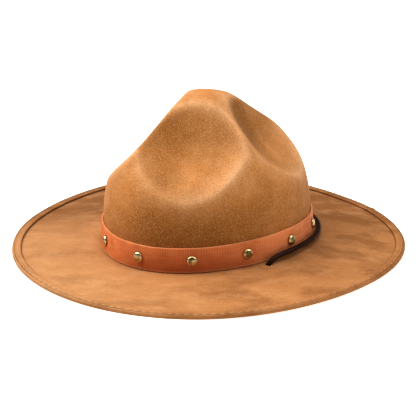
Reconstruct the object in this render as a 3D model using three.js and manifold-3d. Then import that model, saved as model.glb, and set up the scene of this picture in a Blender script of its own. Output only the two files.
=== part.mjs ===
// A ranger hat: a felt crown with four dents, a wide brim with a folded hem, a studded leather
// band and a round chin cord.
// Millimetres, +Z up. The hat lies on the plane z = 0. Its front looks along -Y, and the wearer's
// left side is at +X. Every angle starts at the front and turns towards the wearer's left.

import * as THREE from 'three';
import { mergeVertices } from 'three/addons/utils/BufferGeometryUtils.js';
import Module from 'manifold-3d';

const wasm = await Module();
wasm.setup();

// Driving dimensions

const felt = 2;
const gap = 0.3;
const around = 64;
const fullTurn = 2 * Math.PI;

// The uncreased block of the crown is a superellipse over the oval of the head
const crown = {
  halfWidth: 88.7,
  halfLength: 100.4,
  height: 136,
  widthPower: 1.75,
  heightPower: 3.5,
  taper: 0.115,
  leanX: -2.1,
  leanY: -3.2,
  rows: 16,
};

// Each dent cuts the block down to a bowl between a steep flat above and a shelf below it. side is
// the dent's angle. A flat has a slope above level, a reach from the fold's centre, and a curve
// that takes it further out towards both sides. softness rounds the steep flat into the shelf.
const foldHeight = 40;
const foldSoftness = 0.024;
const frontSteep = { slope: 29.3, reach: 66.2, curve: 0.31 };
const rearSteep = { slope: 35.6, reach: 67.1, curve: 0.44 };
const rearShelf = { slope: 60.7, reach: 63.2, curve: 0.51 };
const dents = [
  { side: 45.1, steep: frontSteep, shelf: { slope: 54.3, reach: 66.2, curve: 0.49 }, softness: 0.033 },
  { side: -45.1, steep: frontSteep, shelf: { slope: 54.3, reach: 62.8, curve: 0.49 }, softness: 0.033 },
  { side: 135.2, steep: rearSteep, shelf: rearShelf, softness: 0.032 },
  { side: -135.2, steep: rearSteep, shelf: rearShelf, softness: 0.032 },
];

// Height of the brim's top at the crown, and of its underside at the rim. Each wave repeats
// so many turns round the hat. The rim lies flat wherever its wave would go below the surface.
const seat = {
  height: 7.6,
  waves: [
    { turns: 1, cosine: -2.1, sine: 1.4 },
    { turns: 2, cosine: -1.7, sine: -1.4 },
  ],
};
const rim = {
  height: 1.7,
  waves: [
    { turns: 1, cosine: -1, sine: -0.4 },
    { turns: 2, cosine: -1.6, sine: 0.6 },
    { turns: 3, cosine: 1.7, sine: -0.3 },
  ],
};

// The brim's width goes in and out a little on its way round
const brim = {
  width: 82.9,
  collar: 12,
  waves: [
    { turns: 1, cosine: -0.9, sine: 0.2 },
    { turns: 2, cosine: -0.8, sine: -0.35 },
    { turns: 3, cosine: 0, sine: 0.8 },
  ],
};
const hem = { width: 8.4, thickness: 1.4, seamAngle: 175, seamWidth: 0.8 };
const band = { height: 22.2, thickness: 2 };
const stud = { count: 12, headRadius: 4.4, headHeight: 2.2, edge: 0.5, shankRadius: 1.5, shankLength: 1.8 };
const firstStudShare = -0.026;
const studSides = 10;
const cord = { diameter: 4.5, sides: 8, stepsPerPoint: 2, holeRadius: 3.2, holeAngle: 91 };
const knot = { radius: 4, endRadius: 2.6, length: 9 };

// The cord's route, from one face of its knot to the other: x, y, z
const cordRoute = [
  [76.1, -21, 4.1],
  [71.4, -27.5, 3.9],
  [56, -55, 2.5],
  [30, -69, 2.35],
  [0, -73, 2.3],
  [-30, -67, 2.3],
  [-52, -51, 2.3],
  [-58, -31, 2.3],
  [-45, -14, 2.3],
  [-20, -8, 2.3],
  [8, -8, 2.3],
  [34, -3, 2.3],
  [50, 13, 2.3],
  [48, 34, 2.3],
  [30, 51, 2.3],
  [4, 61, 2.3],
  [-26, 62, 2.3],
  [-54, 49, 2.3],
  [-73, 26, 2.3],
  [-83, 7, 2.35],
  [-89.2, 1.8, 2.4],
  [-93.2, 1.6, 3.9],
  [-94.5, 1.8, 7],
  [-94.4, 4.2, 10.4],
  [-93.3, 11, 12.3],
  [-91, 25.5, 12.4],
  [-83.5, 47.5, 11.7],
  [-71.8, 67.5, 11.1],
  [-56.5, 84, 10.8],
  [-38.1, 96, 10.8],
  [-18, 103.2, 11.3],
  [3, 105.2, 12.1],
  [24, 101.7, 13.2],
  [44, 92.7, 14.4],
  [61.5, 79.3, 15.5],
  [75.8, 61.7, 16.2],
  [86, 41, 16.6],
  [91.3, 23.5, 16.5],
  [93.6, 9, 14.6],
  [94.5, 2.3, 10.9],
  [94.1, 1.5, 8],
  [90.9, 0.4, 5],
  [81.9, -13, 4.1],
];

const radians = (degrees) => degrees * Math.PI / 180;

// Forms shared by the pieces

function waved(mean, waves, angle) {
  let value = mean;
  for (const wave of waves) {
    value += wave.cosine * Math.cos(wave.turns * angle) + wave.sine * Math.sin(wave.turns * angle);
  }
  return value;
}

function seatHeight(angle) {
  return waved(seat.height, seat.waves, angle);
}

function rimUnderside(angle) {
  return Math.max(0, waved(rim.height, rim.waves, angle));
}

function blockWidth(rise) {
  const round = (1 - rise ** crown.heightPower) ** (1 / crown.widthPower);
  return round * (1 - crown.taper * rise);
}

// A point so far outside the crown's wall, at a height over its foot
function besideCrown(angle, above, outside) {
  const rise = above / crown.height;
  const width = blockWidth(rise);
  return new THREE.Vector3(
    (crown.halfWidth * width + outside) * Math.sin(angle) + crown.leanX * rise,
    -(crown.halfLength * width + outside) * Math.cos(angle) + crown.leanY * rise,
    seatHeight(angle) + above,
  );
}

function brimUnderside(angle, outside) {
  const share = THREE.MathUtils.clamp(outside / (brim.width - hem.width), 0, 1);
  return THREE.MathUtils.lerp(seatHeight(angle) - felt, rimUnderside(angle), share);
}

// A section's row says how far outside the crown it is, and its lift over the brim's underside
function placeOnBrim(angle, row) {
  const spread = waved(brim.width, brim.waves, angle) / brim.width;
  const spot = besideCrown(angle, Math.max(0, row.lift - felt), row.outside * spread);
  spot.z = brimUnderside(angle, row.outside) + row.lift;
  return spot;
}

// A lathe of the section, with each vertex then moved to its place on the oval hat
function lathed(section, place) {
  const outline = section.map((row) => new THREE.Vector2(row.outside + crown.halfWidth, row.lift));
  const geometry = new THREE.LatheGeometry(outline, around);
  const position = geometry.attributes.position;
  for (let index = 0; index < position.count; index++) {
    const row = section[index % section.length];
    const turn = Math.floor(index / section.length) % around;
    const spot = place(fullTurn * turn / around, row);
    position.setXYZ(index, spot.x, spot.y, spot.z);
  }
  geometry.computeVertexNormals();
  return geometry;
}

function closedSection(rows) {
  return [...rows, rows[0]];
}

// Cutting holes

function toSolid(geometry) {
  const bare = geometry.clone();
  bare.deleteAttribute('normal');
  bare.deleteAttribute('uv');
  const merged = mergeVertices(bare);
  const solid = new wasm.Mesh({
    numProp: 3,
    vertProperties: new Float32Array(merged.attributes.position.array),
    triVerts: new Uint32Array(merged.index.array),
  });
  return new wasm.Manifold(solid);
}

function toGeometry(solid) {
  const mesh = solid.getMesh();
  const geometry = new THREE.BufferGeometry();
  geometry.setAttribute('position', new THREE.BufferAttribute(new Float32Array(mesh.vertProperties), 3));
  geometry.setIndex(new THREE.BufferAttribute(new Uint32Array(mesh.triVerts), 1));
  geometry.computeVertexNormals();
  return geometry;
}

function cutAway(geometry, tools) {
  let solid = toSolid(geometry);
  for (const tool of tools) {
    solid = solid.subtract(toSolid(tool));
  }
  return toGeometry(solid);
}

// Crown

function softMinimum(values, softness) {
  const least = Math.min(...values);
  const sum = values.reduce((total, value) => total + Math.exp((least - value) / softness), 0);
  return least - softness * Math.log(sum);
}

// The share of a ray from the fold's centre that a flat keeps
function flatShare(ray, side, flat, inset) {
  const slope = radians(flat.slope);
  const facing = new THREE.Vector3(
    Math.sin(side) * Math.cos(slope),
    -Math.cos(side) * Math.cos(slope),
    Math.sin(slope),
  );
  const across = new THREE.Vector3(Math.cos(side), Math.sin(side), 0);
  const sideways = ray.dot(across) / ray.length();
  const reach = flat.reach - inset;
  return reach * (1 + flat.curve * sideways ** 2) / Math.max(ray.dot(facing), reach / 3);
}

// Draws a point of the block towards the fold's centre, down into the bowls of the dents
function crease(point, inset) {
  const centre = new THREE.Vector3(0, 0, seat.height + foldHeight);
  const ray = point.clone().sub(centre);
  const bowls = dents.map((dent) => {
    const side = radians(dent.side);
    const steep = flatShare(ray, side, dent.steep, inset);
    const shelf = flatShare(ray, side, dent.shelf, inset);
    return -softMinimum([-steep, -shelf], dent.softness);
  });
  return centre.addScaledVector(ray, softMinimum([1, ...bowls], foldSoftness));
}

function placeOnCrown(angle, row) {
  const foot = (seatHeight(angle) - seat.height) * (1 - row.rise);
  const point = new THREE.Vector3(
    (crown.halfWidth - row.inset) * row.width * Math.sin(angle) + crown.leanX * row.rise,
    -(crown.halfLength - row.inset) * row.width * Math.cos(angle) + crown.leanY * row.rise,
    seat.height + gap + foot + (crown.height - row.inset) * row.rise,
  );
  return crease(point, row.inset);
}

// Rows of the block from its foot to its top, spaced evenly along the felt
function blockRows(inset) {
  const outline = [];
  const samples = 60;
  for (let index = 0; index <= samples; index++) {
    const turn = Math.PI / 2 * index / samples;
    const rise = Math.sin(turn) ** (2 / crown.heightPower);
    const width = index === samples ? 0 : blockWidth(rise);
    outline.push(new THREE.Vector2(width * crown.halfLength, rise * crown.height));
  }
  return new THREE.SplineCurve(outline).getSpacedPoints(crown.rows).map((spot) => ({
    width: spot.x / crown.halfLength,
    rise: spot.y / crown.height,
    inset,
    outside: spot.x - crown.halfWidth,
    lift: spot.y,
  }));
}

function crownGeometry() {
  const inside = blockRows(felt).reverse();
  const outside = blockRows(0);
  return lathed([...inside, ...outside], placeOnCrown);
}

// Brim and hem

function brimGeometry() {
  const edge = brim.width - hem.thickness - gap;
  const inner = -felt - gap;
  const section = closedSection([
    { outside: inner - felt + 1, lift: 0.8 },
    { outside: -1, lift: 0 },
    { outside: 23, lift: 0 },
    { outside: 46, lift: 0 },
    { outside: brim.width - hem.width, lift: 0 },
    { outside: edge - 0.5, lift: 0 },
    { outside: edge, lift: 0.5 },
    { outside: edge, lift: felt },
    { outside: brim.width - hem.width, lift: felt },
    { outside: 46, lift: felt },
    { outside: 23, lift: felt },
    { outside: inner, lift: felt },
    { outside: inner, lift: felt + brim.collar },
    { outside: inner - felt, lift: felt + brim.collar },
    { outside: inner - felt, lift: felt },
  ]);
  const holes = [cord.holeAngle, -cord.holeAngle].map((degrees) => {
    const spot = besideCrown(radians(degrees), 0, band.thickness + 2 * gap + cord.holeRadius);
    const drill = new THREE.CylinderGeometry(cord.holeRadius, cord.holeRadius, 6 * felt, 16);
    drill.rotateX(Math.PI / 2);
    return drill.translate(spot.x, spot.y, spot.z - felt / 2);
  });
  return cutAway(lathed(section, placeOnBrim), holes);
}

function hemGeometry() {
  const top = felt + gap + hem.thickness;
  const section = closedSection([
    { outside: brim.width - hem.width, lift: felt + gap },
    { outside: brim.width - hem.thickness, lift: felt + gap },
    { outside: brim.width - hem.thickness, lift: 0 },
    { outside: brim.width - 0.6, lift: 0 },
    { outside: brim.width, lift: 0.8 },
    { outside: brim.width, lift: top - 1 },
    { outside: brim.width - 1, lift: top },
    { outside: brim.width - hem.width + 0.6, lift: top },
    { outside: brim.width - hem.width, lift: top - 0.6 },
  ]);
  const seamAngle = radians(hem.seamAngle);
  const spot = besideCrown(seamAngle, 0, brim.width - hem.width / 2);
  const seam = new THREE.BoxGeometry(hem.seamWidth, 2 * hem.width, 12 * felt);
  seam.rotateZ(seamAngle);
  seam.translate(spot.x, spot.y, 0);
  return cutAway(lathed(section, placeOnBrim), [seam]);
}

// Hat band and its studs

function studAngles() {
  const samples = 720;
  const lengths = [0];
  let last = besideCrown(0, 0, 0);
  for (let index = 1; index <= samples; index++) {
    const spot = besideCrown(fullTurn * index / samples, 0, 0).setZ(last.z);
    lengths.push(lengths[index - 1] + spot.distanceTo(last));
    last = spot;
  }
  return Array.from({ length: stud.count }, (_, number) => {
    const share = THREE.MathUtils.euclideanModulo(firstStudShare + number / stud.count, 1);
    const wanted = share * lengths[samples];
    return fullTurn * lengths.findIndex((length) => length >= wanted) / samples;
  });
}

// Where a stud's head rests on the band, and the way that it faces
function studSeat(angle) {
  const above = gap + band.height / 2;
  const outside = band.thickness + 2 * gap;
  const step = 0.01;
  const spot = besideCrown(angle, above, outside);
  const along = besideCrown(angle + step, above, outside).setZ(spot.z).sub(spot);
  const upwards = besideCrown(angle, above + 1, outside).sub(spot);
  return { spot, normal: along.cross(upwards).normalize() };
}

function turnedTo(normal) {
  return new THREE.Quaternion().setFromUnitVectors(new THREE.Vector3(0, 1, 0), normal);
}

function bandGeometry() {
  const section = closedSection([
    { outside: gap, lift: felt + gap },
    { outside: gap + band.thickness, lift: felt + gap },
    { outside: gap + band.thickness, lift: felt + gap + band.height },
    { outside: gap, lift: felt + gap + band.height },
  ]);
  const holes = studAngles().map((angle) => {
    const { spot, normal } = studSeat(angle);
    const radius = stud.shankRadius + gap;
    const drill = new THREE.CylinderGeometry(radius, radius, 4 * band.thickness, studSides);
    drill.applyQuaternion(turnedTo(normal));
    return drill.translate(spot.x, spot.y, spot.z);
  });
  return cutAway(lathed(section, placeOnBrim), holes);
}

function studGeometry() {
  const outline = [
    new THREE.Vector2(0, -stud.shankLength),
    new THREE.Vector2(stud.shankRadius, -stud.shankLength),
    new THREE.Vector2(stud.shankRadius, 0),
    new THREE.Vector2(stud.headRadius, 0),
  ];
  const steps = 3;
  for (let index = 0; index <= steps; index++) {
    const turn = Math.PI / 2 * index / steps;
    const radius = index === steps ? 0 : stud.headRadius * Math.cos(turn);
    outline.push(new THREE.Vector2(radius, stud.edge + (stud.headHeight - stud.edge) * Math.sin(turn)));
  }
  return new THREE.LatheGeometry(outline, studSides);
}

// Chin cord and its knot

// The cord is stepped from point to point of its route, so that short bends keep their steps
class SteppedRoute extends THREE.CatmullRomCurve3 {
  getPointAt(share, target) {
    return this.getPoint(share, target);
  }

  getTangentAt(share, target) {
    return this.getTangent(share, target);
  }
}

function cordGeometry() {
  const route = new SteppedRoute(cordRoute.map((point) => new THREE.Vector3(...point)));
  const section = new THREE.Shape();
  for (let side = 0; side < cord.sides; side++) {
    const turn = fullTurn * side / cord.sides;
    const corner = [cord.diameter / 2 * Math.cos(turn), cord.diameter / 2 * Math.sin(turn)];
    if (side === 0) {
      section.moveTo(...corner);
    } else {
      section.lineTo(...corner);
    }
  }
  section.closePath();
  const steps = cord.stepsPerPoint * (cordRoute.length - 1);
  return new THREE.ExtrudeGeometry(section, { steps, bevelEnabled: false, extrudePath: route });
}

function knotGeometry() {
  const half = knot.length / 2;
  const outline = [
    new THREE.Vector2(0, -half),
    new THREE.Vector2(knot.endRadius, -half),
    new THREE.Vector2(knot.radius, -half / 2),
    new THREE.Vector2(knot.radius, half / 2),
    new THREE.Vector2(knot.endRadius, half),
    new THREE.Vector2(0, half),
  ];
  return new THREE.LatheGeometry(outline, 12);
}

// Materials

const feltTan = new THREE.MeshStandardMaterial({ color: 0xc58a4e, roughness: 0.95, metalness: 0 });
const suedeTan = new THREE.MeshStandardMaterial({ color: 0xcf965e, roughness: 0.92, metalness: 0 });
const bandLeather = new THREE.MeshStandardMaterial({ color: 0xb5562f, roughness: 0.7, metalness: 0 });
const agedBrass = new THREE.MeshStandardMaterial({ color: 0x8f7a48, roughness: 0.35, metalness: 1 });
const darkCord = new THREE.MeshStandardMaterial({ color: 0x20120e, roughness: 0.6, metalness: 0 });

// Assembly

const hat = new THREE.Group();

function addPiece(name, geometry, material) {
  const piece = new THREE.Mesh(geometry, material);
  piece.name = name;
  hat.add(piece);
  return piece;
}

addPiece('crown', crownGeometry(), feltTan);
addPiece('brim', brimGeometry(), suedeTan);
addPiece('brim_hem', hemGeometry(), suedeTan);
addPiece('hat_band', bandGeometry(), bandLeather);

studAngles().forEach((angle, index) => {
  const number = String(index + 1).padStart(2, '0');
  const piece = addPiece(`stud_${number}`, studGeometry(), agedBrass);
  const { spot, normal } = studSeat(angle);
  piece.position.copy(spot);
  piece.quaternion.copy(turnedTo(normal));
});

addPiece('chin_cord', cordGeometry(), darkCord);

const knotPiece = addPiece('cord_knot', knotGeometry(), darkCord);
const knotEnds = [cordRoute.at(0), cordRoute.at(-1)].map((point) => new THREE.Vector3(...point));
knotPiece.position.copy(knotEnds[0]).lerp(knotEnds[1], 0.5);
knotPiece.quaternion.copy(turnedTo(knotEnds[1].clone().sub(knotEnds[0]).normalize()));

export default hat;
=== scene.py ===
# A felt ranger hat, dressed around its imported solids. Metres, +Z up. The hat's front looks along -Y,
# and every angle starts at the front and turns towards the wearer's left, which is +X.
import math

import bmesh
import bpy
import numpy as np
from mathutils import Matrix, Vector, noise


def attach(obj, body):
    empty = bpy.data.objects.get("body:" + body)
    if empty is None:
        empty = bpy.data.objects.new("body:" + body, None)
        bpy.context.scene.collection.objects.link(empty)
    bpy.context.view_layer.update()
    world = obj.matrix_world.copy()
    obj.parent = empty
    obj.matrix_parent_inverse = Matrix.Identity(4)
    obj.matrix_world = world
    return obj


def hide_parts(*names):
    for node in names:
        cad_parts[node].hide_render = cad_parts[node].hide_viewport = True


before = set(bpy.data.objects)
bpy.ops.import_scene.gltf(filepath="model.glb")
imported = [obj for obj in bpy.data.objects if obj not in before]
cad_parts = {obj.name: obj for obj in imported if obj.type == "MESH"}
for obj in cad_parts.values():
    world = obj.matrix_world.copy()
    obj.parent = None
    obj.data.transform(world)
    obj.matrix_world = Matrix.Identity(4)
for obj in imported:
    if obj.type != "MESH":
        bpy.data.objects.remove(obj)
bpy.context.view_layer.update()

mm = 0.001
fullTurn = 2 * math.pi
scene = bpy.context.scene

# The hat's own form, in millimetres. Every piece is placed by it.
hatForm = {
    "halfWidth": 88.7,
    "halfLength": 100.4,
    "height": 136,
    "widthPower": 1.75,
    "heightPower": 3.5,
    "taper": 0.115,
    "leanX": -2.1,
    "leanY": -3.2,
    "felt": 2,
    "gap": 0.3,
    "brimWidth": 82.9,
    "hemWidth": 8.4,
    "hemThickness": 1.4,
    "seatHeight": 7.6,
    "rimHeight": 1.7,
    # how far the band draws the crown's foot in, the height where that ends, and the height that it
    # takes to fade
    "pinch": 0.9,
    "pinchTop": 30,
    "pinchFade": 6,
}
# waves round the hat, of its height and of the brim's width: turns, cosine, sine
seatWaves = [(1, -2.1, 1.4), (2, -1.7, -1.4)]
rimWaves = [(1, -1, -0.4), (2, -1.6, 0.6), (3, 1.7, -0.3)]
widthWaves = [(1, -0.9, 0.2), (2, -0.8, -0.35), (3, 0, 0.8)]


def wayTo(angle, rise):
    # the direction at an angle round the hat and a rise over the level
    level = math.cos(rise)
    return math.sin(angle) * level, -math.cos(angle) * level, math.sin(rise)


def levelAt(angle, height, waves):
    level = height + 0 * angle
    for turns, cosine, sine in waves:
        level = level + cosine * np.cos(turns * angle) + sine * np.sin(turns * angle)
    return level


def seatAt(angle):
    return levelAt(angle, hatForm["seatHeight"], seatWaves)


def blockWidth(rise):
    rounded = np.clip(1 - rise ** hatForm["heightPower"], 0, 1) ** (1 / hatForm["widthPower"])
    return rounded * (1 - hatForm["taper"] * rise)


def besideCrown(angle, above, outside):
    # spots so far outside the crown's wall, at a height over its foot
    rise = above / hatForm["height"]
    width = blockWidth(rise)
    x = (hatForm["halfWidth"] * width + outside) * np.sin(angle) + hatForm["leanX"] * rise
    y = -(hatForm["halfLength"] * width + outside) * np.cos(angle) + hatForm["leanY"] * rise
    return np.stack([x, y, seatAt(angle) + above + 0 * x], -1)


def brimUnderside(angle, outside):
    share = np.clip(outside / (hatForm["brimWidth"] - hatForm["hemWidth"]), 0, 1)
    rim = np.maximum(0, levelAt(angle, hatForm["rimHeight"], rimWaves))
    return (seatAt(angle) - hatForm["felt"]) * (1 - share) + rim * share


def onBrim(angle, outside, lift):
    # spots so far outside the crown, at a lift over the brim's underside
    spread = levelAt(angle, hatForm["brimWidth"], widthWaves) / hatForm["brimWidth"]
    spots = besideCrown(angle, np.maximum(0, lift - hatForm["felt"]), outside * spread)
    spots[..., 2] = brimUnderside(angle, outside) + lift
    return spots


# the share of the way round the crown's foot that each quarter of a degree has reached
wayAngles = np.linspace(0, fullTurn, 1441)
waySteps = np.linalg.norm(np.diff(besideCrown(wayAngles, 0, 0)[:, :2], axis=0), axis=1)
wayShares = np.concatenate([[0], np.cumsum(waySteps)]) / waySteps.sum()


def lumps(spots, size, seed):
    # soft unevenness between about -1 and 1, the same on each run
    shift = Vector((seed * 17.3, seed * 5.9, seed * 11.1))
    return np.array([noise.noise(Vector(spot) / size + shift) for spot in spots])


def rolledGrid(columns, section, place, length, start=0, turn=fullTurn, closedSection=True, marks=None):
    # a grid rolled round the hat; its UV is metres along the roll and metres along the section, and
    # its marks are named values that a material reads
    rows = section + section[:1] if closedSection else section
    last = len(rows) - 1
    along = np.concatenate([[0], np.cumsum([math.dist(a, b) for a, b in zip(rows, rows[1:])])])
    bm = bmesh.new()
    uvLayer = bm.loops.layers.uv.new("UVMap")
    bmesh.ops.create_grid(bm, x_segments=columns, y_segments=last, size=0.5)
    shares = np.array([round((vert.co.x + 0.5) * columns) / columns for vert in bm.verts])
    lines = np.array([round((vert.co.y + 0.5) * last) for vert in bm.verts])
    for face in bm.faces:
        for loop in face.loops:
            index = loop.vert.index
            loop[uvLayer].uv = (shares[index] * length, along[lines[index]] * mm)
    sections = np.array(rows, float)[lines]
    spots = place(start + turn * shares, sections[:, 0], sections[:, 1])
    for vert, spot in zip(bm.verts, spots):
        vert.co = Vector(spot) * mm
    if marks:
        for name, values in marks(start + turn * shares, sections[:, 0], sections[:, 1]).items():
            layer = bm.verts.layers.float.new(name)
            for vert, value in zip(bm.verts, values):
                vert[layer] = value
    bmesh.ops.remove_doubles(bm, verts=bm.verts, dist=0.01 * mm)
    bmesh.ops.recalc_face_normals(bm, faces=bm.faces)
    return bm


def finishedPiece(name, bm, material, slotName, *nodes):
    mesh = bpy.data.meshes.new(name)
    bm.to_mesh(mesh)
    bm.free()
    mesh.shade_smooth()
    mesh.materials.append(material)
    piece = bpy.data.objects.new(name, mesh)
    scene.collection.objects.link(piece)
    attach(piece, "root")
    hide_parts(*nodes)
    return piece


def closeEnds(bm):
    bmesh.ops.holes_fill(bm, edges=[edge for edge in bm.edges if edge.is_boundary], sides=0)
    bmesh.ops.recalc_face_normals(bm, faces=bm.faces)


def cutHoles(bm, holes, radius, depth):
    # drills round holes along the given directions with a boolean, and returns the cut mesh
    blank = bpy.data.objects.new("blank", bpy.data.meshes.new("blank"))
    bm.to_mesh(blank.data)
    bm.free()
    drillMesh = bmesh.new()
    for spot, direction in holes:
        turned = Vector(direction).to_track_quat("Z", "Y").to_matrix().to_4x4()
        bmesh.ops.create_cone(
            drillMesh, cap_ends=True, segments=32, radius1=radius * mm, radius2=radius * mm,
            depth=depth * mm, matrix=Matrix.Translation(Vector(spot) * mm) @ turned,
        )
    drill = bpy.data.objects.new("drill", bpy.data.meshes.new("drill"))
    drillMesh.to_mesh(drill.data)
    drillMesh.free()
    for helper in (blank, drill):
        scene.collection.objects.link(helper)
    cut = blank.modifiers.new("cut", "BOOLEAN")
    cut.operation = "DIFFERENCE"
    cut.solver = "EXACT"
    cut.object = drill
    whole = bmesh.new()
    bpy.context.view_layer.update()
    whole.from_mesh(blank.evaluated_get(bpy.context.evaluated_depsgraph_get()).to_mesh())
    for helper in (blank, drill):
        bpy.data.objects.remove(helper)
    return whole


# Materials

def node(tree, kind, inputs=(), **settings):
    # inputs are named or counted, and each is a socket to link or a constant
    made = tree.nodes.new("ShaderNode" + kind)
    for name, value in settings.items():
        setattr(made, name, value)
    for name, value in dict(inputs).items():
        if isinstance(value, bpy.types.NodeSocket):
            tree.links.new(value, made.inputs[name])
        else:
            made.inputs[name].default_value = value
    return made


def newMaterial(name, **constants):
    material = bpy.data.materials.new(name)
    material.use_nodes = True
    tree = material.node_tree
    shader = tree.nodes["Principled BSDF"]
    for socket, value in constants.items():
        shader.inputs[socket.replace("_", " ")].default_value = value
    return material, tree, shader


# how brushed felt and suede shine
napShine = {
    "Sheen_Weight": 0.05,
    "Sheen_Roughness": 0.4,
    "Sheen_Tint": (1, 0.8, 0.6, 1),
    "Specular_IOR_Level": 0.5,
    "Specular_Tint": (1, 0.84, 0.62, 1),
}


def stretched(tree, source, rotation=(0, 0, 0), scale=(1, 1, 1), shift=(0, 0, 0)):
    inputs = {"Vector": source, "Location": shift, "Rotation": rotation, "Scale": scale}
    return node(tree, "Mapping", inputs).outputs[0]


def grain(tree, source, scale, detail=2, rough=0.5):
    inputs = {"Vector": source, "Scale": scale, "Detail": detail, "Roughness": rough}
    return node(tree, "TexNoise", inputs).outputs["Fac"]


def mapped(tree, value, low, high, toLow=0, toHigh=1):
    inputs = {"Value": value, "From Min": low, "From Max": high, "To Min": toLow, "To Max": toHigh}
    return node(tree, "MapRange", inputs, interpolation_type="SMOOTHSTEP").outputs[0]


def mixed(tree, factor, first, second):
    return node(tree, "Mix", {0: factor, 6: first, 7: second}, data_type="RGBA").outputs[2]


def reckoned(tree, operation, first, second=0.0):
    return node(tree, "Math", {0: first, 1: second}, operation=operation).outputs[0]


def times(tree, first, second):
    return reckoned(tree, "MULTIPLY", first, second)


def marked(tree, name):
    return node(tree, "Attribute", attribute_name=name).outputs["Fac"]


def raised(tree, shader, height, distance, strength=1.0):
    bump = node(tree, "Bump", {"Height": height, "Distance": distance, "Strength": strength})
    tree.links.new(bump.outputs[0], shader.inputs["Normal"])


# Camera, at the photo's angle to the hat

cameraSettings = {
    "azimuth": 57,
    "elevation": 21,
    "roll": 0.85,
    "distance": 1.3,
    "target": (0, 0, 0.0076),
    "lens": 121.07,
    "sensor": 36,
    "shift": (0.0043, 0.0569),
    "clip": (0.05, 40),
}


def cameraMatrix(azimuth, elevation, roll, distance, target):
    back = Vector(wayTo(azimuth, elevation))
    right = Vector(wayTo(azimuth + math.pi / 2, 0))
    turned = Matrix((right, back.cross(right), back)).transposed().to_4x4()
    return Matrix.Translation(Vector(target) + back * distance) @ turned @ Matrix.Rotation(roll, 4, "Z")


camera = bpy.data.objects.new("camera", bpy.data.cameras.new("camera"))
camera.data.lens = cameraSettings["lens"]
camera.data.sensor_width = cameraSettings["sensor"]
camera.data.shift_x, camera.data.shift_y = cameraSettings["shift"]
camera.data.clip_start, camera.data.clip_end = cameraSettings["clip"]
camera.matrix_world = cameraMatrix(
    math.radians(cameraSettings["azimuth"]),
    math.radians(cameraSettings["elevation"]),
    math.radians(cameraSettings["roll"]),
    cameraSettings["distance"],
    cameraSettings["target"],
)
scene.collection.objects.link(camera)
scene.camera = camera
print("camera placed")


# Chin cord and its knot

cordForm = {
    "diameter": 4.5,
    "sides": 36,
    "step": 0.55,
    "strands": 6,
    "relief": 0.2,
    "strandPitch": 15,
    "colour": (0.018, 0.006, 0.003, 1),
    "lit": (0.10, 0.034, 0.018, 1),
}
cordRoute = [
    (76.1, -21, 4.1), (71.4, -27.5, 3.9), (56, -55, 2.5), (30, -69, 2.35), (0, -73, 2.3),
    (-30, -67, 2.3), (-52, -51, 2.3), (-58, -31, 2.3), (-45, -14, 2.3), (-20, -8, 2.3),
    (8, -8, 2.3), (34, -3, 2.3), (50, 13, 2.3), (48, 34, 2.3), (30, 51, 2.3),
    (4, 61, 2.3), (-26, 62, 2.3), (-54, 49, 2.3), (-73, 26, 2.3), (-83, 7, 2.35),
    (-89.2, 1.8, 2.4), (-93.2, 1.6, 3.9), (-94.5, 1.8, 7), (-94.4, 4.2, 10.4), (-93.3, 11, 12.3),
    (-91, 25.5, 12.4), (-83.5, 47.5, 11.7), (-71.8, 67.5, 11.1), (-56.5, 84, 10.8), (-38.1, 96, 10.8),
    (-18, 103.2, 11.3), (3, 105.2, 12.1), (24, 101.7, 13.2), (44, 92.7, 14.4), (61.5, 79.3, 15.5),
    (75.8, 61.7, 16.2), (86, 41, 16.6), (91.3, 23.5, 16.5), (93.6, 9, 14.6), (94.5, 2.3, 10.9),
    (94.1, 1.5, 8), (90.9, 0.4, 5), (81.9, -13, 4.1),
]


def cordLine(points, step):
    # an even line through the route's points, with the same curve as the solid
    points = [Vector(point) for point in points]
    points = [2 * points[0] - points[1], *points, 2 * points[-1] - points[-2]]
    dense = []
    for p0, p1, p2, p3 in zip(points, points[1:], points[2:], points[3:]):
        d0, d1, d2 = [(b - a).length ** 0.5 for a, b in ((p0, p1), (p1, p2), (p2, p3))]
        leave = ((p1 - p0) / d0 - (p2 - p0) / (d0 + d1) + (p2 - p1) / d1) * d1
        reach = ((p2 - p1) / d1 - (p3 - p1) / (d1 + d2) + (p3 - p2) / d2) * d1
        cubic = 2 * p1 - 2 * p2 + leave + reach
        square = -3 * p1 + 3 * p2 - 2 * leave - reach
        for share in np.arange(0, 1, 0.02):
            dense.append(cubic * share ** 3 + square * share ** 2 + leave * share + p1)
    dense = np.array([*dense, points[-2]])
    lengths = np.concatenate([[0], np.cumsum(np.linalg.norm(np.diff(dense, axis=0), axis=1))])
    evenly = np.linspace(0, lengths[-1], round(lengths[-1] / step) + 1)
    return np.stack([np.interp(evenly, lengths, dense[:, axis]) for axis in range(3)], 1), lengths[-1]


def carriedFrames(line):
    # two directions across the line at each point, carried along it without twist
    ways = np.gradient(line, axis=0)
    ways /= np.linalg.norm(ways, axis=1)[:, None]
    across = np.zeros_like(line)
    side = np.cross(ways[0], (0, 0, 1))
    for index, way in enumerate(ways):
        side = side - way * (side @ way)
        side = side / np.linalg.norm(side)
        across[index] = side
    return across, np.cross(ways, across)


def braidRelief(length, turn, form):
    # the height of a braid's crossing strands, from 0 between them to 1 on their backs
    lay = length / form["strandPitch"] * form["strands"]
    first = form["strands"] * turn + lay
    second = form["strands"] * turn - lay
    over = (np.floor(first) + np.floor(second)) % 2 == 0
    return np.sqrt(np.abs(np.sin(math.pi * np.where(over, first, second))))


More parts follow.
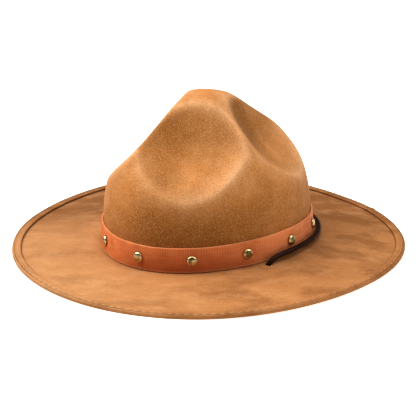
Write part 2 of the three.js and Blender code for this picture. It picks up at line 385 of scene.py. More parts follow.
def makeCord(form, material):
    line, length = cordLine(cordRoute, form["step"])
    across, upwards = carriedFrames(line)
    bm = bmesh.new()
    uvLayer = bm.loops.layers.uv.new("UVMap")
    rings = len(line) - 1
    bmesh.ops.create_grid(bm, x_segments=rings, y_segments=form["sides"], size=0.5)
    spots = np.array([vert.co for vert in bm.verts]) + 0.5
    ring = np.round(spots[:, 0] * rings).astype(int)
    turn = spots[:, 1]
    for face in bm.faces:
        for loop in face.loops:
            index = loop.vert.index
            loop[uvLayer].uv = (ring[index] / rings * length * mm, turn[index])
    relief = braidRelief(ring / rings * length, turn, form)
    radius = form["diameter"] / 2 - form["relief"] * (1 - relief)
    out = across[ring] * np.cos(fullTurn * turn)[:, None]
    out += upwards[ring] * np.sin(fullTurn * turn)[:, None]
    for vert, spot in zip(bm.verts, line[ring] + out * radius[:, None]):
        vert.co = Vector(spot) * mm
    bmesh.ops.remove_doubles(bm, verts=bm.verts, dist=0.001 * mm)
    closeEnds(bm)
    piece = finishedPiece("braided_chin_cord", bm, material, "cord_dark", "chin_cord")
    return piece, line, length


knotForm = {
    "length": 9,
    "radius": 4,
    "endRadius": 2.6,
    "wraps": 2.5,
    "relief": 0.6,
    "rings": 36,
    "sides": 36,
}


def makeKnot(form, ends, material):
    # a barrel knot: the cord's wraps show as a helical ridge
    bm = bmesh.new()
    bmesh.ops.create_grid(bm, x_segments=form["rings"], y_segments=form["sides"], size=0.5)
    centre = (ends[0] + ends[1]) / 2
    axis = (ends[1] - ends[0]).normalized()
    turned = axis.to_track_quat("X", "Z").to_matrix()
    for vert in bm.verts:
        share = vert.co.x + 0.5
        turn = fullTurn * (vert.co.y + 0.5)
        bulge = math.sin(math.pi * share) ** 0.5
        outer = form["endRadius"] + (form["radius"] - form["endRadius"]) * bulge
        wrap = abs(math.sin((form["wraps"] * fullTurn * share + turn) / 2)) ** 0.7
        radius = outer - form["relief"] * bulge * (1 - wrap)
        out = form["length"] * (share - 0.5)
        local = Vector((out, radius * math.cos(turn), radius * math.sin(turn)))
        vert.co = (centre + turned @ local) * mm
    bmesh.ops.remove_doubles(bm, verts=bm.verts, dist=0.001 * mm)
    closeEnds(bm)
    return finishedPiece("chin_cord_knot", bm, material, "cord_dark", "cord_knot")


def cordMaterial(form):
    material, tree, shader = newMaterial(
        "waxed dark cord", Roughness=0.45, Specular_IOR_Level=0.3, Specular_Tint=(1, 0.6, 0.42, 1),
    )
    along = node(tree, "TexCoord").outputs["UV"]
    spot = node(tree, "TexCoord").outputs["Object"]
    fibre = grain(tree, stretched(tree, along, scale=(400, 20, 1)), 1, 2)
    wear_and_highlight = grain(tree, spot, 160, 3, 0.6)
    lit = times(tree, mapped(tree, fibre, 0.4, 0.75), mapped(tree, wear_and_highlight, 0.3, 0.8, 0.2, 1))
    tree.links.new(mixed(tree, lit, form["colour"], form["lit"]), shader.inputs["Base Color"])
    tree.links.new(mapped(tree, wear_and_highlight, 0.3, 0.7, 0.4, 0.52), shader.inputs["Roughness"])
    raised(tree, shader, fibre, 0.0001, 0.5)
    return material


cordFinish = cordMaterial(cordForm)
chinCord, cordCentres, cordLength = makeCord(cordForm, cordFinish)
knotEnds = [Vector(cordRoute[0]), Vector(cordRoute[-1])]
cordKnot = makeKnot(knotForm, knotEnds, cordFinish)
print("chin cord and knot made, %.0f mm long" % cordLength)


# Crown

crownForm = {
    "columns": 288,
    "rows": 112,
    "foldHeight": 40,
    # how far the felt rounds over the ridges and lips, as a share of its distance from the fold
    "rounding": 0.024,
    # each dent: the side that it faces, then the slope, reach and sideways curve of its steep upper
    # flat and of its shelf, and how softly one runs into the other
    "dents": [
        (45.1, (29.3, 66.2, 0.31), (54.3, 66.2, 0.49), 0.033),
        (-45.1, (29.3, 66.2, 0.31), (54.3, 62.8, 0.49), 0.033),
        (135.2, (35.6, 67.1, 0.44), (60.7, 63.2, 0.51), 0.032),
        (-135.2, (35.6, 67.1, 0.44), (60.7, 63.2, 0.51), 0.032),
    ],
    # how softly a dent's marks set in at its lip, on its steep flat and on one side of its middle
    "lipBlend": 0.06,
    "steepBlend": 0.1,
    "sideBlend": 0.3,
    # how dark the painted shade on the steep flats and that side is, how far the painted highlight
    # reaches from the crests, and how much of it the side and the steep flats lack
    "steepShade": 0.55,
    "sideShade": 0.4,
    "highlightWidth": 0.075,
    "sideHighlightCut": 0.5,
    "steepHighlightCut": 0.2,
    # painted shade darkens the felt from the higher of these heights to the lower, most at this angle,
    # and by this share of it elsewhere
    "shadeHeights": (45, 85),
    "shadeAngle": 45,
    "shadeElsewhere": 0.25,
    "folded": (0.12, 0.036, 0.003, 1),
    "dark": (0.235, 0.078, 0.002, 1),
    "middle": (0.61, 0.275, 0.088, 1),
    "fleck": (0.76, 0.39, 0.11, 1),
    "light": (0.98, 0.67, 0.44, 1),
}


def softLeast(values, softness):
    least = values.min(0)
    return least - softness * np.log(np.exp((least - values) / softness).sum(0))


def flatShare(rays, side, flat):
    # how much of each ray a flat keeps, when it faces a side and curves away to both hands
    slope, reach, curve = flat
    facing = np.array(wayTo(math.radians(side), math.radians(slope)))
    across = np.array(wayTo(math.radians(side + 90), 0))
    sideways = rays @ across / np.linalg.norm(rays, axis=1)
    return reach * (1 + curve * sideways ** 2) / np.maximum(rays @ facing, reach / 3)


def dentShares(spots, form):
    # the rays from the fold's centre, and the share of them that each dent's two flats keep
    rays = spots - np.array([0, 0, hatForm["seatHeight"] + form["foldHeight"]])
    steep = np.array([flatShare(rays, dent[0], dent[1]) for dent in form["dents"]])
    shelf = np.array([flatShare(rays, dent[0], dent[2]) for dent in form["dents"]])
    return rays, steep, shelf


def crease(spots, form):
    # draws the block's felt towards the fold's centre, down into the bowls of the dents
    rays, steep, shelf = dentShares(spots, form)
    shares = [np.ones(len(spots))]
    for index, dent in enumerate(form["dents"]):
        shares.append(-softLeast(np.array([-steep[index], -shelf[index]]), dent[3]))
    kept = softLeast(np.array(shares), form["rounding"])
    return spots + rays * (kept - 1)[:, None]


def blockOutline(count):
    # rises and widths of the block from its foot to its top, spaced evenly along the felt
    rise = np.sin(np.linspace(0, math.pi / 2, 400)) ** (2 / hatForm["heightPower"])
    width = blockWidth(rise) * hatForm["halfLength"]
    steps = np.hypot(np.diff(width), np.diff(rise * hatForm["height"]))
    lengths = np.concatenate([[0], np.cumsum(steps)])
    evenly = np.linspace(0, lengths[-1], count + 1)
    rises = np.interp(evenly, lengths, rise)
    widths = np.interp(evenly, lengths, width)
    return [(float(up), float(out)) for up, out in zip(rises, widths)]


def onBlock(angle, rise, width):
    foot = (seatAt(angle) - hatForm["seatHeight"]) * (1 - rise)
    pinched = np.clip((hatForm["pinchTop"] - rise * hatForm["height"]) / hatForm["pinchFade"], 0, 1) ** 2
    share = (width - pinched * hatForm["pinch"]) / hatForm["halfLength"]
    return np.stack([
        hatForm["halfWidth"] * share * np.sin(angle) + hatForm["leanX"] * rise,
        -hatForm["halfLength"] * share * np.cos(angle) + hatForm["leanY"] * rise,
        hatForm["seatHeight"] + hatForm["gap"] + foot + hatForm["height"] * rise,
    ], -1)


def makeCrown(form, material):
    def place(angle, rise, width):
        return crease(onBlock(angle, rise, width), form)

    def marks(angle, rise, width):
        spots = onBlock(angle, rise, width)
        rays, steep, shelf = dentShares(spots, form)
        bowls = np.maximum(steep, shelf)
        ordered = np.sort([*bowls, np.ones(len(spots))], 0)
        # painted shade low on the wall and in the dents, and a painted highlight along the crests and
        # lips
        low, high = form["shadeHeights"]
        foot = np.clip((high - spots[:, 2]) / (high - low), 0, 1)
        facing = np.clip(np.cos(angle - math.radians(form["shadeAngle"])), 0, 1) ** 2
        foot *= form["shadeElsewhere"] + (1 - form["shadeElsewhere"]) * facing
        deepest = bowls.argmin(0), np.arange(len(spots))
        steeper = np.clip((steep - shelf)[deepest] / form["steepBlend"], 0, 1)
        inside = np.clip((1 - ordered[0]) / form["lipBlend"], 0, 1)
        turns = np.radians([dent[0] for dent in form["dents"]])[deepest[0]]
        aside = (rays[:, 0] * np.cos(turns) + rays[:, 1] * np.sin(turns)) / np.linalg.norm(rays, axis=1)
        oneSide = np.clip(-aside / form["sideBlend"], 0, 1)
        shade = form["steepShade"] * steeper + form["sideShade"] * oneSide
        highlightCut = np.maximum(form["sideHighlightCut"] * oneSide, form["steepHighlightCut"] * steeper)
        return {
            "painted_shade": np.maximum(foot, shade * inside),
            "steep": steeper * inside,
            "wear_and_highlight": np.exp((ordered[0] - ordered[1]) / form["highlightWidth"]) * (1 - highlightCut),
            "behind": np.minimum(bowls[0], bowls[1]) - np.minimum(bowls[2], bowls[3]),
            "inside": inside,
        }

    outline = blockOutline(form["rows"])
    bm = rolledGrid(form["columns"], outline, place, 1, closedSection=False, marks=marks)
    piece = finishedPiece("felt_crown", bm, material, "crown_felt", "crown")
    wall = piece.modifiers.new("felt wall", "SOLIDIFY")
    wall.thickness = hatForm["felt"] * mm
    wall.offset = -1


def feltMaterial(form):
    material, tree, shader = newMaterial("brushed tan felt", Roughness=0.72, **napShine)
    spot = node(tree, "TexCoord").outputs["Object"]
    pebble = grain(tree, spot, 1050, 3, 0.65)
    nap = grain(tree, stretched(tree, spot, scale=(1, 1, 0.45)), 1900, 2)
    patch = grain(tree, spot, 26, 3, 0.55)
    cloud = grain(tree, spot, 75, 3, 0.6)
    ground = mixed(tree, mapped(tree, patch, 0.3, 0.7, 0.55, 0.95), form["dark"], form["middle"])
    ground = mixed(tree, mapped(tree, cloud, 0.38, 0.75, 0, 0.14), ground, form["light"])
    # a painted highlight along the crests and lips, and painted shade low on the wall and in the dents
    ground = mixed(tree, times(tree, marked(tree, "wear_and_highlight"), 0.45), ground, form["light"])
    ground = mixed(tree, times(tree, marked(tree, "painted_shade"), 0.75), ground, form["dark"])
    # the fold behind each side ridge: a crisp painted dark line of shade, with a softer painted shade
    # that fades to the rear
    behind = marked(tree, "behind")
    inside = marked(tree, "inside")
    apart = reckoned(tree, "ABSOLUTE", reckoned(tree, "SUBTRACT", behind, 0.06))
    line = times(tree, mapped(tree, apart, 0.02, 0.08, 0.85, 0), inside)
    shade = times(tree, mapped(tree, behind, 0, 0.04), mapped(tree, behind, 0.6, 2.6, 0.9, 0))
    shade = times(tree, times(tree, shade, marked(tree, "steep")), inside)
    ground = mixed(tree, shade, ground, form["dark"])
    ground = mixed(tree, line, ground, form["folded"])
    ground = mixed(tree, mapped(tree, pebble, 0.32, 0.5, 0.5, 0), ground, form["dark"])
    colour = mixed(tree, mapped(tree, pebble, 0.48, 0.65, 0, 0.48), ground, form["fleck"])
    tree.links.new(colour, shader.inputs["Base Color"])
    both = reckoned(tree, "ADD", pebble, times(tree, nap, 0.7))
    raised(tree, shader, both, 0.0004, 0.7)
    return material


makeCrown(crownForm, feltMaterial(crownForm))
print("crown made")


# Brim

brimForm = {
    "columns": 384,
    "rowStep": 3.2,
    "collar": 12,
    # how uneven the felt is, the sizes of its coarse and fine lumps, how strong the fine ones are, and
    # between which distances from the crown they set in and fade
    "unevenness": 0.22,
    "lumpSizes": (38, 13),
    "fineShare": 0.4,
    "setIn": (6, 18),
    "fade": (62, 72),
    # painted shade in the crevice at the hem and beside the band: how wide, and for the band how far out
    # and how dark
    "hemShadeWidth": 0.7,
    "bandShadeWidth": 2,
    "bandShadeFrom": 1,
    "bandShade": 0.6,
    "holeRadius": 3.2,
    "holeAngle": 91,
    "holeOutside": 5.8,
    "brushAngle": 57,
    "soilAndShade": (0.25, 0.095, 0.022, 1),
    "dark": (0.27, 0.105, 0.026, 1),
    "shaded": (0.19, 0.068, 0.012, 1),
    "middle": (0.44, 0.204, 0.072, 1),
    "light": (0.70, 0.42, 0.22, 1),
}


def brimSection(form):
    felt = hatForm["felt"]
    inner = -felt - hatForm["gap"] - hatForm["pinch"]
    edge = hatForm["brimWidth"] - hatForm["hemThickness"] - hatForm["gap"]
    top = felt + form["collar"]
    hemEdge = hatForm["brimWidth"] - hatForm["hemWidth"]
    outs = [*np.arange(form["rowStep"], hemEdge - 3, form["rowStep"])]
    outs += [hemEdge + shift for shift in (-2.2, -1.4, -0.8, -0.3, 1, 4)]
    below = [(inner - felt + 1.2, 0.7), (inner - felt + 2.2, 0.1), (0, 0), *[(out, 0) for out in outs]]
    rim = [(edge - 0.9, 0), (edge - 0.3, 0.3), (edge, 0.9), (edge, 1.2)]
    rim += [(edge - 0.3, 1.75), (edge - 0.9, felt)]
    above = [(out, felt) for out in reversed(outs)]
    foot = [(0, felt), (inner + 0.6, felt + 0.1), (inner + 0.1, felt + 0.6)]
    collar = [*[(inner, lift) for lift in (felt + 2, felt + 5, felt + 8, top - 0.5)], (inner - 0.5, top)]
    inside = [(inner - felt + 0.5, top), *[(inner - felt, lift) for lift in (top - 0.5, 8, 5, 2)]]
    return below + rim + above + foot + collar + inside


def makeBrim(form, material):
    def place(angle, outside, lift):
        spots = onBrim(angle, outside, lift)
        free = np.interp(outside, form["setIn"], (0, 1)) * np.interp(outside, form["fade"], (1, 0))
        flat = spots * (1, 1, 0)
        coarse, fine = form["lumpSizes"]
        uneven = lumps(flat, coarse, 1) + form["fineShare"] * lumps(flat, fine, 2)
        spots[:, 2] += form["unevenness"] * free * uneven
        return spots

    def marks(angle, outside, lift):
        # painted shade in the crevice at the hem's inner edge and beside the band
        inwards = hatForm["brimWidth"] - hatForm["hemWidth"] - outside
        crevice = np.exp(-np.abs(inwards) / form["hemShadeWidth"])
        beside = np.exp(-np.abs(outside - form["bandShadeFrom"]) / form["bandShadeWidth"])
        return {"painted_shade": np.maximum(crevice, form["bandShade"] * beside)}

    bm = rolledGrid(form["columns"], brimSection(form), place, 1, marks=marks)
    holes = []
    for side in (1, -1):
        spot = besideCrown(side * math.radians(form["holeAngle"]), 0, form["holeOutside"])
        holes.append((spot, (0, 0, 1)))
    bm = cutHoles(bm, holes, form["holeRadius"], depth=16)
    finishedPiece("suede_brim", bm, material, "brim_felt", "brim")


def brushedWay(tree, spot):
    # coordinates turned to the way that the nap was brushed, whole and as their three numbers
    turned = stretched(tree, spot, rotation=(0, 0, math.radians(-brimForm["brushAngle"])))
    return turned, node(tree, "SeparateXYZ", {"Vector": turned}).outputs


def suedeMaterial(name, form):
    material, tree, shader = newMaterial(name, Roughness=0.75, **napShine)
    spot = node(tree, "TexCoord").outputs["Object"]
    # the nap was brushed one way over the whole brim
    turned, sides = brushedWay(tree, spot)
    brushed = stretched(tree, turned, scale=(0.5, 1, 1))
    fleck = grain(tree, spot, 900, 3, 0.65)
    streak = grain(tree, brushed, 75, 5, 0.65)
    fineStreak = grain(tree, brushed, 520, 3, 0.6)
    patch = grain(tree, stretched(tree, turned, scale=(0.75, 1, 1), shift=(0.11, 0.05, 0)), 34, 4, 0.55)
    ground = mixed(tree, mapped(tree, patch, 0.34, 0.56, 0.3, 1), form["dark"], form["middle"])
    # painted light and shade: the felt is painted palest at the hat's front right, and painted darkest
    # over its right side and rear
    ground = mixed(tree, mapped(tree, sides[0], -0.17, 0.03, 0.28, 0), ground, form["light"])
    ground = mixed(tree, mapped(tree, sides[1], 0, 0.07, 0, 0.8), ground, form["shaded"])
    ground = mixed(tree, mapped(tree, streak, 0.42, 0.72, 0, 0.28), ground, form["light"])
    ground = mixed(tree, mapped(tree, fineStreak, 0.3, 0.55, 0.15, 0), ground, form["dark"])
    ground = mixed(tree, mapped(tree, fleck, 0.5, 0.72, 0, 0.3), ground, form["light"])
    # painted shade in the crevices at the hem and the band
    ground = mixed(tree, times(tree, marked(tree, "painted_shade"), 0.8), ground, form["soilAndShade"])
    tree.links.new(ground, shader.inputs["Base Color"])
    both = reckoned(tree, "ADD", fleck, times(tree, fineStreak, 0.4))
    raised(tree, shader, both, 0.0004, 0.45)
    return material


makeBrim(brimForm, suedeMaterial("brushed tan suede", brimForm))
print("brim made")


# Hem, folded over the rim and stitched

hemForm = {
    "columnsPerStitch": 8,
    "stitches": 154,
    # the way round the rim
    "length": 1085,
    "seamAngle": 175,
    "seamWidth": 0.8,
    # how far the loose end at the seam stands up, and how soon it lies down again
    "curl": 1.1,
    "curlLength": 4,
    "stitchRow": 80,
    "grooveDepth": 0.35,
    "grooveWidth": 0.9,
    # the share of the groove's depth that is left halfway along a stitch
    "grooveLeast": 0.45,
    "threadLength": 3.9,
    "threadWidth": 0.65,
    "threadHeight": 0.45,
    "threadLift": 0.05,
    "threadSkew": 4,
    # how dark the painted shade is along the thread's groove, low on the rim's outer side and over one
    # side of the hem, which is most at this angle
    "threadShade": 0.3,
    "rimShade": 0.55,
    "hemSideShade": 0.6,
    "hemSideShadeAngle": 147,
    "thread": (0.84, 0.54, 0.29, 1),
    "soiledThread": (0.50, 0.25, 0.10, 1),
}


def hemSection(form):
    felt = hatForm["felt"]
    inside = hatForm["brimWidth"] - hatForm["hemWidth"]
    outside = hatForm["brimWidth"]
    low = felt + hatForm["gap"]
    top = low + hatForm["hemThickness"]
    lip = outside - hatForm["hemThickness"]
    row = form["stitchRow"]
    under = [(inside + 0.3, low), (inside + 3, low), (lip - 0.3, low), (lip, low - 0.3), (lip, 1)]
    turned = [(lip, 0.25), (lip + 0.25, 0), (outside - 0.6, 0), (outside - 0.2, 0.25)]
    edge = [(outside, 0.8), (outside, 1.8), (outside - 0.1, 2.5)]
    shoulder = [(outside - 0.5, top - 0.45), (outside - 1.1, top - 0.12), (outside - 1.9, top)]
    groove = [(row + shift, top) for shift in (1.4, 0.9, 0.5, 0.2, 0, -0.2, -0.5, -0.9, -1.4)]
    back = [(inside + 1.8, top), (inside + 0.9, top - 0.08), (inside + 0.3, top - 0.3)]
    foot = [(inside, top - 0.8), (inside, low + 0.2)]
    return under + turned + edge + shoulder + groove + back + foot


def stitchDip(share, outside, form):
    # the hem is drawn down along the stitches, most where the thread enters
    across = np.exp(-((outside - form["stitchRow"]) / form["grooveWidth"]) ** 2)
    enters = 0.5 - 0.5 * np.cos(fullTurn * share * form["stitches"])
    return form["grooveDepth"] * across * (form["grooveLeast"] + (1 - form["grooveLeast"]) * enters)


def hemTop():
    return hatForm["felt"] + hatForm["gap"] + hatForm["hemThickness"]


def hemAngles(form):
    start = math.radians(form["seamAngle"])
    half = form["seamWidth"] / 2 / (hatForm["halfLength"] + hatForm["brimWidth"])
    return start + half, fullTurn - 2 * half


def makeHem(form, material):
    start, turn = hemAngles(form)
    felt = hatForm["felt"]

    def place(angle, outside, lift):
        share = (angle - start) / turn
        raisedTop = np.clip((lift - felt) / (hemTop() - felt), 0, 1)
        dip = stitchDip(share, outside, form) * (lift > felt + 0.5)
        fromEnd = np.minimum(share, 1 - share) * form["length"]
        curled = form["curl"] * np.exp(-fromEnd / form["curlLength"]) * raisedTop * (share > 0.5)
        return onBrim(angle, outside, lift - dip + curled)

    def marks(angle, outside, lift):
        # painted shade: in the crevice at the hem's inner edge, along the stitch groove, low on the
        # rim's outer side, and over one side of the hem
        inwards = outside - (hatForm["brimWidth"] - hatForm["hemWidth"])
        crevice = np.exp(-inwards / 0.4) * (lift > felt)
        thread = form["threadShade"] * np.exp(-np.abs(outside - form["stitchRow"]) / 0.7) * (lift > felt)
        rim = np.clip((outside - hatForm["brimWidth"] + 0.5) / 0.4, 0, 1)
        rim *= form["rimShade"] * np.clip((3 - lift) / 1.4, 0, 1)
        hemSideShading = np.clip(np.cos(angle - math.radians(form["hemSideShadeAngle"])), 0, 1) ** 2
        hemSideShading *= form["hemSideShade"] * np.clip(inwards / hatForm["hemWidth"], 0, 1)
        return {"painted_shade": np.max([crevice, thread, rim, hemSideShading], 0)}

    columns = form["stitches"] * form["columnsPerStitch"]
    bm = rolledGrid(columns, hemSection(form), place, form["length"] * mm, start, turn, marks=marks)
    closeEnds(bm)
    finishedPiece("folded_hem", bm, material, "hem_felt", "brim_hem")


def makeStitches(form, material):
    # each stitch lies in the groove on its middle, and points along the row to a spot just after it
    start, turn = hemAngles(form)
    lift = hemTop() - form["grooveDepth"] * form["grooveLeast"] + form["threadLift"]
    size = Vector((form["threadLength"], form["threadWidth"], form["threadHeight"])) * (mm / 2)
    skew = Matrix.Rotation(math.radians(form["threadSkew"]), 4, "Z")
    upright = Matrix.Rotation(math.pi / 2, 3, "Y")
    bm = bmesh.new()
    for stitch in range(form["stitches"]):
        angle = start + turn * stitch / form["stitches"]
        spots = onBrim(np.array([angle, angle + 0.002]), form["stitchRow"], lift)
        spot, after = [Vector(each) for each in spots]
        along = (after - spot).normalized()
        across = Vector((0, 0, 1)).cross(along).normalized()
        turned = Matrix((along, across, along.cross(across))).transposed().to_4x4()
        place = Matrix.Translation(spot * mm) @ turned @ skew @ Matrix.Diagonal((*size, 1))
        made = bmesh.ops.create_uvsphere(bm, u_segments=6, v_segments=6, radius=1)
        bmesh.ops.rotate(bm, verts=made["verts"], cent=(0, 0, 0), matrix=upright)
        bmesh.ops.transform(bm, matrix=place, verts=made["verts"])
    finishedPiece("hem_stitches", bm, material, "hem_felt")


def threadMaterial(form):
    material, tree, shader = newMaterial("pale stitching thread", Roughness=0.6, Sheen_Weight=0.2)
    spot = node(tree, "TexCoord").outputs["Object"]
    twist = grain(tree, spot, 1500, 2)
    soilAndShade = grain(tree, spot, 30, 2)
    # the thread is paler along the front of the brim and darker away from it
    sides = brushedWay(tree, spot)[1]
    rearwards = mapped(tree, sides[0], -0.02, 0.1, 0, 0.75)
    rightwards = mapped(tree, sides[1], -0.12, -0.02)
    awayFromFront = reckoned(tree, "MAXIMUM", rearwards, rightwards)
    shade = mixed(tree, mapped(tree, soilAndShade, 0.35, 0.7, 0, 0.5), form["thread"], form["soiledThread"])
    shade = mixed(tree, awayFromFront, shade, form["soiledThread"])
    shade = mixed(tree, mapped(tree, twist, 0.3, 0.7, 0, 0.3), shade, form["soiledThread"])
    tree.links.new(shade, shader.inputs["Base Color"])
    raised(tree, shader, twist, 0.0002, 0.5)
    return material


makeHem(hemForm, suedeMaterial("folded tan suede", brimForm))
makeStitches(hemForm, threadMaterial(hemForm))
print("hem and stitches made")


# Hat band

bandForm = {
    "columns": 900,
    "height": 22.2,
    "thickness": 1.4,
    "rounding": 0.45,
    "dimple": 0.35,
    "dimpleRadius": 6,
    # how deep the wrinkles are, and the sizes of those on the face and along the upper edge
    "wrinkle": 0.35,
    "wrinkleSizes": (24, 16),
    "studs": 12,
    "firstStud": -0.026,
    "shankHole": 1.8,
    # painted shade makes the leather darkest low down at the first of these angles, where this share of
    # it reaches the upper edge, and painted light makes it a little paler at the second
    "shadeAngle": 50,
    "shadeLeast": 0.35,
    "paleAngle": 120,
    "pale": 0.12,
    # the painted shade round each stud, the pale pressed line above the lower edge, and the worn upper
    # edge
    "studShade": 1.2,
    "studShadeRadius": 5.3,
    "lineHeight": 0.9,
    "lineWidth": 0.55,
    "lineWear": 0.8,
    "edgeWear": 0.3,
    "dark": (0.46, 0.10, 0.012, 1),
    "middle": (0.97, 0.36, 0.13, 1),
    "light": (0.99, 0.58, 0.32, 1),
}
bandLength = float(waySteps.sum()) * mm


def studShares(form):
    return np.mod(form["firstStud"] + np.arange(form["studs"]) / form["studs"], 1)


def studAngles(form):
    return np.interp(studShares(form), wayShares, wayAngles)


def studDistances(angle, up, form):
    # for each stud, how far spots at a height over the band's middle are from it
    share = np.interp(np.mod(angle, fullTurn), wayAngles, wayShares)
    for other in studShares(form):
        apart = (np.mod(share - other + 0.5, 1) - 0.5) * bandLength / mm
        yield np.hypot(apart, up)


def studSeat(angle, form):
    # where a stud's head rests on the band, and the way that it faces
    above = hatForm["gap"] + form["height"] / 2
    outside = form["thickness"] + 2 * hatForm["gap"] - hatForm["pinch"]
    spot = besideCrown(angle, above, outside)
    beside = besideCrown(angle + 0.01, above, outside)
    beside[2] = spot[2]
    over = besideCrown(angle, above + 1, outside)
    return Vector(spot), Vector(beside - spot).cross(Vector(over - spot)).normalized()


def bandSection(form):
    low = hatForm["felt"] + hatForm["gap"]
    top = low + form["height"]
    inside = hatForm["gap"] - hatForm["pinch"]
    outside = inside + form["thickness"]
    soft = form["rounding"]
    bottom = [(inside, low + 0.3), (inside + 0.3, low), (outside - soft, low)]
    bottom += [(outside - 0.15, low + 0.15), (outside, low + soft)]
    face = [(outside, float(lift)) for lift in np.linspace(low + 1.2, top - 1.2, 22)]
    upper = [(outside, top - soft), (outside - 0.15, top - 0.15), (outside - soft, top)]
    upper += [(inside + 0.3, top), (inside, top - 0.3)]
    back = [(inside, float(lift)) for lift in np.linspace(top - 6, low + 6, 4)]
    return bottom + face + upper + back


def makeBand(form, material):
    half = form["height"] / 2
    low = hatForm["felt"] + hatForm["gap"]
    faceSize, edgeSize = form["wrinkleSizes"]

    def place(angle, outside, lift):
        spots = onBrim(angle, outside, lift)
        across = (lift - low - half) / half
        showing = outside > hatForm["gap"] - hatForm["pinch"] + form["thickness"] / 2
        push = np.zeros(len(spots))
        for far in studDistances(angle, across * half, form):
            push -= form["dimple"] * np.exp(-(far / form["dimpleRadius"]) ** 2)
        push += form["wrinkle"] * 0.5 * lumps(spots, faceSize, 3) * (1 - across ** 2)
        outwards = spots * (1, 1, 0)
        outwards /= np.linalg.norm(outwards, axis=1)[:, None]
        spots += outwards * (push * showing)[:, None]
        edge = np.clip(across, 0, 1) ** 4
        spots[:, 2] += form["wrinkle"] * lumps(spots * (1, 1, 0), edgeSize, 4) * edge
        return spots

    def marks(angle, outside, lift):
        # painted shade low on the front and round each stud; the pressed line and worn upper edge, and
        # painted light on one side
        above = lift - low
        facing = np.clip(np.cos(angle - math.radians(form["shadeAngle"])), 0, 1) ** 3
        lowness = np.clip(1 - above / form["height"], 0, 1)
        shade = (form["shadeLeast"] + (1 - form["shadeLeast"]) * lowness) * facing
        for far in studDistances(angle, above - half, form):
            shade = np.maximum(shade, form["studShade"] * np.exp(-((far / form["studShadeRadius"]) ** 6)))
        line = form["lineWear"] * np.exp(-((above - form["lineHeight"]) / form["lineWidth"]) ** 2)
        edge = form["edgeWear"] * np.clip((above - form["height"] + 1.2) / 0.8, 0, 1)
        pale = form["pale"] * np.clip(np.cos(angle - math.radians(form["paleAngle"])), 0, 1) ** 2
        return {"painted_shade": shade, "wear_and_highlight": np.max([line, edge, pale], 0)}

    bm = rolledGrid(form["columns"], bandSection(form), place, bandLength, marks=marks)
    holes = [studSeat(angle, form) for angle in studAngles(form)]
    bm = cutHoles(bm, holes, form["shankHole"], depth=8)
    finishedPiece("leather_band", bm, material, "band_leather", "hat_band")


def leatherMaterial(form):
    material, tree, shader = newMaterial("reddish tan leather", Roughness=0.62, Specular_IOR_Level=0.35)
    spot = node(tree, "TexCoord").outputs["Object"]
    flat = node(tree, "TexCoord").outputs["UV"]
    patch = grain(tree, spot, 22, 3, 0.6)
    drawn = grain(tree, stretched(tree, flat, scale=(60, 520, 1)), 1, 3, 0.6)
    cells = node(tree, "TexVoronoi", {"Vector": spot, "Scale": 1100}, feature="DISTANCE_TO_EDGE")
    pores = cells.outputs["Distance"]
    ribbing = {"Vector": flat, "Scale": 140, "Distortion": 1.2, "Detail": 1, "Detail Scale": 3}
    ribs = node(tree, "TexWave", ribbing, wave_type="BANDS", bands_direction="X").outputs["Fac"]
    ground = mixed(tree, mapped(tree, patch, 0.32, 0.68), form["dark"], form["middle"])
    ground = mixed(tree, 0.6, form["middle"], ground)
    ground = mixed(tree, mapped(tree, drawn, 0.4, 0.75, 0, 0.3), ground, form["light"])
    ground = mixed(tree, mapped(tree, ribs, 0.1, 0.9, 0.2, 0), ground, form["dark"])
    # painted shade at the front and round each stud, then the pressed line, the worn upper edge and the
    # painted light on one side
    ground = mixed(tree, times(tree, marked(tree, "painted_shade"), 0.85), ground, form["dark"])
    ground = mixed(tree, times(tree, marked(tree, "wear_and_highlight"), 0.6), ground, form["light"])
    tree.links.new(ground, shader.inputs["Base Color"])
    tree.links.new(mapped(tree, drawn, 0.3, 0.7, 0.72, 0.52), shader.inputs["Roughness"])
    both = reckoned(tree, "ADD", times(tree, ribs, 0.6), mapped(tree, pores, 0, 0.2))
    raised(tree, shader, both, 0.0002, 0.5)
    return material


makeBand(bandForm, leatherMaterial(bandForm))
print("band made")


# Studs

studForm = {
    "headRadius": 4.4,
    "headHeight": 2.2,
    "edge": 0.5,
    "shankRadius": 1.5,
    "shankLength": 1.5,
    "steps": 40,
    "rings": 12,
    "unevenness": 0.05,
    # the share of the radius where a painted reflection begins to brighten the brass towards the rim,
    # and over what share it does
    "reflectionFrom": 0.55,
    "reflectionOver": 0.35,
    "dark": (0.20, 0.14, 0.05, 1),
    "light": (0.90, 0.76, 0.44, 1),
}


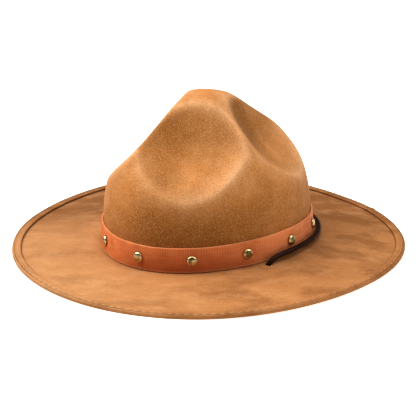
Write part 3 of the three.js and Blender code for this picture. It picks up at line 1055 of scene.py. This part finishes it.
def makeStud(name, spot, normal, form, material, seed):
    bm = bmesh.new()
    profile = [(0, -form["shankLength"]), (form["shankRadius"] - 0.2, -form["shankLength"])]
    profile += [(form["shankRadius"], 0.2 - form["shankLength"]), (form["shankRadius"], 0)]
    head = form["headRadius"]
    profile += [(head - 0.35, 0), (head - 0.08, 0.08), (head, 0.3)]
    for ring in range(form["rings"] + 1):
        turn = math.pi / 2 * ring / form["rings"]
        reach = head * math.cos(turn) ** 0.85 if ring < form["rings"] else 0
        profile.append((reach, form["edge"] + (form["headHeight"] - form["edge"]) * math.sin(turn)))
    verts = [bm.verts.new((out, 0, up)) for out, up in profile]
    edges = [bm.edges.new(pair) for pair in zip(verts, verts[1:])]
    bmesh.ops.spin(
        bm, geom=verts + edges, cent=(0, 0, 0), axis=(0, 0, 1), angle=fullTurn,
        steps=form["steps"], use_merge=True,
    )
    bmesh.ops.remove_doubles(bm, verts=bm.verts, dist=0.001)
    # a painted reflection: the dome is painted brighter towards its rim
    wear_and_highlight = bm.verts.layers.float.new("wear_and_highlight")
    for vert in bm.verts:
        far = math.hypot(vert.co.x, vert.co.y) / head
        vert[wear_and_highlight] = min(1, max(0, far - form["reflectionFrom"]) / form["reflectionOver"])
        if vert.co.z > form["edge"]:
            vert.co.z += form["unevenness"] * noise.noise(vert.co * 0.6 + Vector((seed * 7.1, 0, 0)))
    turned = normal.to_track_quat("Z", "Y").to_matrix().to_4x4()
    place = Matrix.Scale(mm, 4) @ Matrix.Translation(spot) @ turned
    bmesh.ops.transform(bm, matrix=place, verts=bm.verts)
    bmesh.ops.recalc_face_normals(bm, faces=bm.faces)
    finishedPiece("brass_" + name, bm, material, "stud_brass", name)


def brassMaterial(form):
    material, tree, shader = newMaterial("aged brass", Metallic=1.0, Roughness=0.3)
    spot = node(tree, "TexCoord").outputs["Object"]
    tarnish = grain(tree, spot, 120, 2, 0.5)
    scratches = grain(tree, stretched(tree, spot, rotation=(0.4, 0.7, 0.2), scale=(0.2, 1, 1)), 2600, 2)
    # the brass is brighter with random tarnish and with the painted reflection towards each dome's rim
    bright = reckoned(tree, "MAXIMUM", mapped(tree, tarnish, 0.4, 0.7, 0, 0.8), marked(tree, "wear_and_highlight"))
    colour = mixed(tree, bright, form["dark"], form["light"])
    tree.links.new(colour, shader.inputs["Base Color"])
    tree.links.new(mapped(tree, tarnish, 0.3, 0.7, 0.36, 0.26), shader.inputs["Roughness"])
    raised(tree, shader, scratches, 0.00003, 0.4)
    return material


studFinish = brassMaterial(studForm)
for number, studAngle in enumerate(studAngles(bandForm), start=1):
    studSpot, studFacing = studSeat(studAngle, bandForm)
    makeStud("stud_%02d" % number, studSpot, studFacing, studForm, studFinish, number)
print("studs made")


# Floor, light and background

studioForm = {
    "floor": (0.7, 0.7, 0.7, 1),
    "speck": (0.85, 0.85, 0.85, 1),
    "glow": 0.85,
    "sky": 0.12,
    # each soft light: its angle round the hat, its height in degrees, its strength and its width
    "lights": [
        ("left_softbox", 315, 45, 2.7, 40),
        ("right_softbox", 135, 45, 1.2, 40),
        ("top_softbox", 270, 78, 2.0, 50),
    ],
}


def makeFloor(form):
    bm = bmesh.new()
    bmesh.ops.create_grid(bm, x_segments=4, y_segments=4, size=4)
    mesh = bpy.data.meshes.new("floor")
    bm.to_mesh(mesh)
    bm.free()
    material, tree, shader = newMaterial(
        "pale paper floor", Roughness=0.9, Specular_IOR_Level=0.1,
        Emission_Color=(1, 1, 1, 1), Emission_Strength=form["glow"],
    )
    spot = node(tree, "TexCoord").outputs["Object"]
    speck = grain(tree, spot, 300, 2)
    shade = mixed(tree, mapped(tree, speck, 0.3, 0.7, 0, 0.03), form["floor"], form["speck"])
    tree.links.new(shade, shader.inputs["Base Color"])
    mesh.materials.append(material)
    floor = bpy.data.objects.new("floor", mesh)
    scene.collection.objects.link(floor)


def makeLights(form):
    for name, turn, rise, strength, width in form["lights"]:
        turn, rise = math.radians(turn), math.radians(rise)
        way = Vector(wayTo(turn, rise))
        light = bpy.data.lights.new(name, "SUN")
        light.energy = strength
        light.angle = math.radians(width)
        holder = bpy.data.objects.new(name, light)
        holder.location = way
        holder.rotation_mode = "QUATERNION"
        holder.rotation_quaternion = way.to_track_quat("Z", "Y")
        scene.collection.objects.link(holder)
    world = bpy.data.worlds.new("studio")
    scene.world = world
    world.use_nodes = True
    tree = world.node_tree
    background = tree.nodes["Background"]
    seen = node(tree, "LightPath").outputs["Is Camera Ray"]
    tree.links.new(reckoned(tree, "MAXIMUM", seen, form["sky"]), background.inputs["Strength"])
    background.inputs["Color"].default_value = (1, 1, 1, 1)


makeFloor(studioForm)
makeLights(studioForm)
scene.view_settings.view_transform = "Standard"
scene.view_settings.gamma = 0.78
print("studio made")
